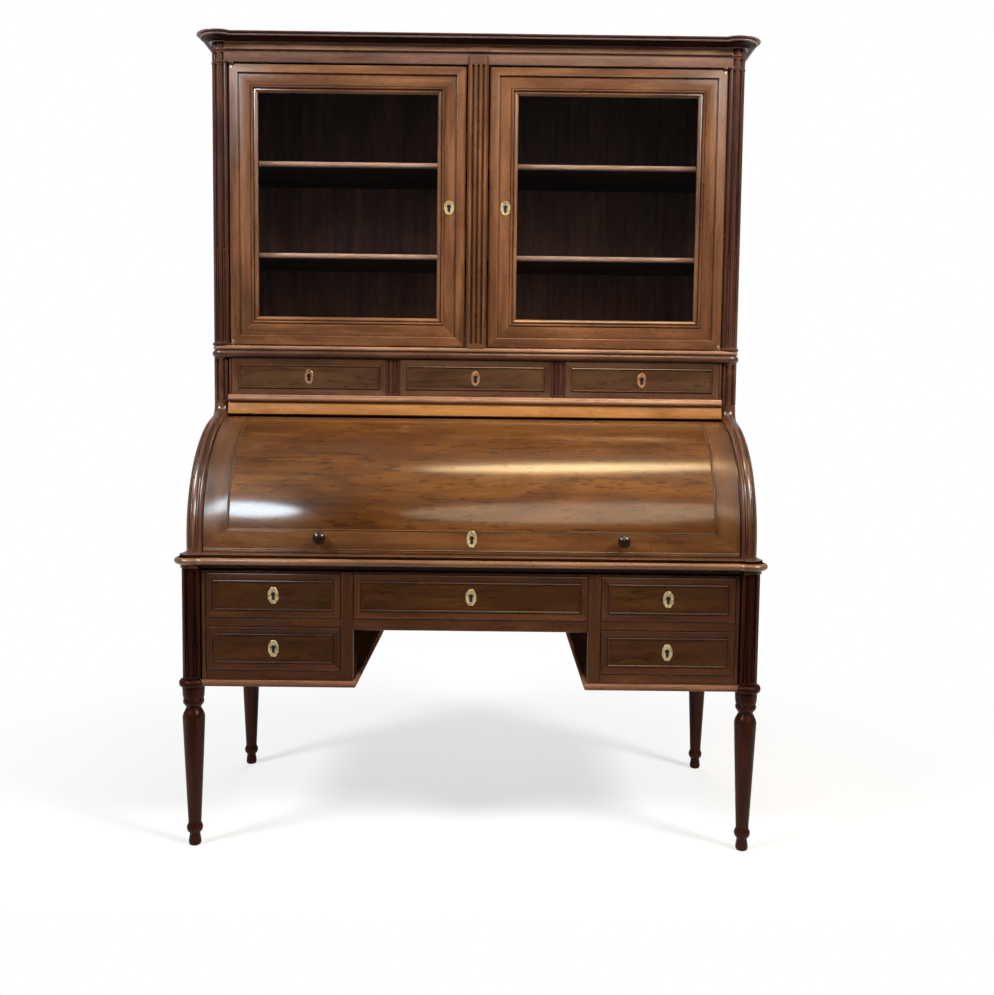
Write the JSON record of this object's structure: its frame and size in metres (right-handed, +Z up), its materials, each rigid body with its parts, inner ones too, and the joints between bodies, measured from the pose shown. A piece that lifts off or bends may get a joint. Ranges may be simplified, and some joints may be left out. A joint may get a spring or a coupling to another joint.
{
  "type": "cylinder desk",
  "caption": "Writing desk on turned legs with drawers, a curved lid that turns back over a pull-out writing slide, and a glazed two-door bookcase above.",
  "frame": {"origin": "on the floor, under the middle of the desk's box", "axes": "+X to the sitter's right, +Y to the back of the desk, +Z up"},
  "size_m": [1.554, 0.721, 2.151],
  "materials": {
    "mahogany": "gloss varnish",
    "dark_mahogany": "gloss varnish",
    "figured_mahogany": "gloss varnish",
    "oak": "plain waxed",
    "brass": "aged",
    "glass": "clear",
    "leather": "worn"
  },
  "bodies": {
    "carcass": {"front_left_leg": "dark_mahogany", "front_right_leg": "dark_mahogany", "rear_legs": "dark_mahogany", "bookcase_column_left": "dark_mahogany", "bookcase_column_right": "dark_mahogany", "base_drawer_runners": "oak", "base_back_panels": "oak", "lower_case_back": "oak", "bookcase_back": "oak", "bookcase_shelves": "oak", "shelf_cleats": "oak", "pigeonhole_nest": "oak", "base_side_panels": "mahogany", "kneehole_panels": "mahogany", "pedestal_floors": "mahogany", "base_front_rails": "mahogany", "desk_top": "mahogany", "cylinder_side_left": "mahogany", "cylinder_side_right": "mahogany", "cylinder_top_rail": "mahogany", "drawer_row_boards": "mahogany", "waist_board": "mahogany", "bookcase_sides": "mahogany", "centre_pilaster": "mahogany", "bookcase_frieze": "mahogany", "cornice": "mahogany", "pivot_fittings": "brass"},
    "cylinder": {"cylinder_panel": "figured_mahogany", "cylinder_frame": "mahogany", "cylinder_knobs": "dark_mahogany", "cylinder_lock": "brass", "cylinder_arms": "brass"},
    "writing_slide": {"writing_slide_board": "mahogany", "writing_slide_leather": "leather"},
    "upper_left_drawer_box": {"upper_left_drawer": "mahogany", "upper_left_drawer_lock": "brass"},
    "upper_right_drawer_box": {"upper_right_drawer": "mahogany", "upper_right_drawer_lock": "brass"},
    "lower_left_drawer_box": {"lower_left_drawer": "mahogany", "lower_left_drawer_lock": "brass"},
    "lower_right_drawer_box": {"lower_right_drawer": "mahogany", "lower_right_drawer_lock": "brass"},
    "centre_drawer_box": {"centre_drawer": "mahogany", "centre_drawer_lock": "brass"},
    "row_left_drawer_box": {"row_left_drawer": "mahogany", "row_left_drawer_lock": "brass"},
    "row_centre_drawer_box": {"row_centre_drawer": "mahogany", "row_centre_drawer_lock": "brass"},
    "row_right_drawer_box": {"row_right_drawer": "mahogany", "row_right_drawer_lock": "brass"},
    "left_door": {"left_door_frame": "mahogany", "left_door_glass": "glass", "left_door_glazing_beads": "mahogany", "left_door_lock": "brass"},
    "nest_left_drawer_box": {"nest_left_drawer": "oak"},
    "right_door": {"right_door_frame": "mahogany", "right_door_glass": "glass", "right_door_glazing_beads": "mahogany", "right_door_lock": "brass"},
    "nest_right_drawer_box": {"nest_right_drawer": "oak"}
  },
  "joints": [
    {"name": "cylinder_turn", "type": "hinge", "parent": "carcass", "child": "cylinder", "pos_m": [0, 0.0405, 0.785], "axis": [-1, 0, 0], "range_deg": [0, 72]},
    {"name": "writing_slide_pull", "type": "slide", "parent": "carcass", "child": "writing_slide", "axis": [0, -1, 0], "range_m": [0, 0.25]},
    {"name": "upper_left_drawer_pull", "type": "slide", "parent": "carcass", "child": "upper_left_drawer_box", "axis": [0, -1, 0], "range_m": [0, 0.38]},
    {"name": "upper_right_drawer_pull", "type": "slide", "parent": "carcass", "child": "upper_right_drawer_box", "axis": [0, -1, 0], "range_m": [0, 0.38]},
    {"name": "lower_left_drawer_pull", "type": "slide", "parent": "carcass", "child": "lower_left_drawer_box", "axis": [0, -1, 0], "range_m": [0, 0.38]},
    {"name": "lower_right_drawer_pull", "type": "slide", "parent": "carcass", "child": "lower_right_drawer_box", "axis": [0, -1, 0], "range_m": [0, 0.38]},
    {"name": "centre_drawer_pull", "type": "slide", "parent": "carcass", "child": "centre_drawer_box", "axis": [0, -1, 0], "range_m": [0, 0.38]},
    {"name": "row_left_drawer_pull", "type": "slide", "parent": "carcass", "child": "row_left_drawer_box", "axis": [0, -1, 0], "range_m": [0, 0.2]},
    {"name": "row_centre_drawer_pull", "type": "slide", "parent": "carcass", "child": "row_centre_drawer_box", "axis": [0, -1, 0], "range_m": [0, 0.2]},
    {"name": "row_right_drawer_pull", "type": "slide", "parent": "carcass", "child": "row_right_drawer_box", "axis": [0, -1, 0], "range_m": [0, 0.2]},
    {"name": "left_door_swing", "type": "hinge", "parent": "carcass", "child": "left_door", "pos_m": [-0.6805, 0.0085, 1.6915], "axis": [0, 0, -1], "range_deg": [0, 95]},
    {"name": "nest_left_drawer_pull", "type": "slide", "parent": "carcass", "child": "nest_left_drawer_box", "axis": [0, -1, 0], "range_m": [0, 0.15]},
    {"name": "right_door_swing", "type": "hinge", "parent": "carcass", "child": "right_door", "pos_m": [0.6805, 0.0085, 1.6915], "axis": [0, 0, 1], "range_deg": [0, 95]},
    {"name": "nest_right_drawer_pull", "type": "slide", "parent": "carcass", "child": "nest_right_drawer_box", "axis": [0, -1, 0], "range_m": [0, 0.15]}
  ]
}
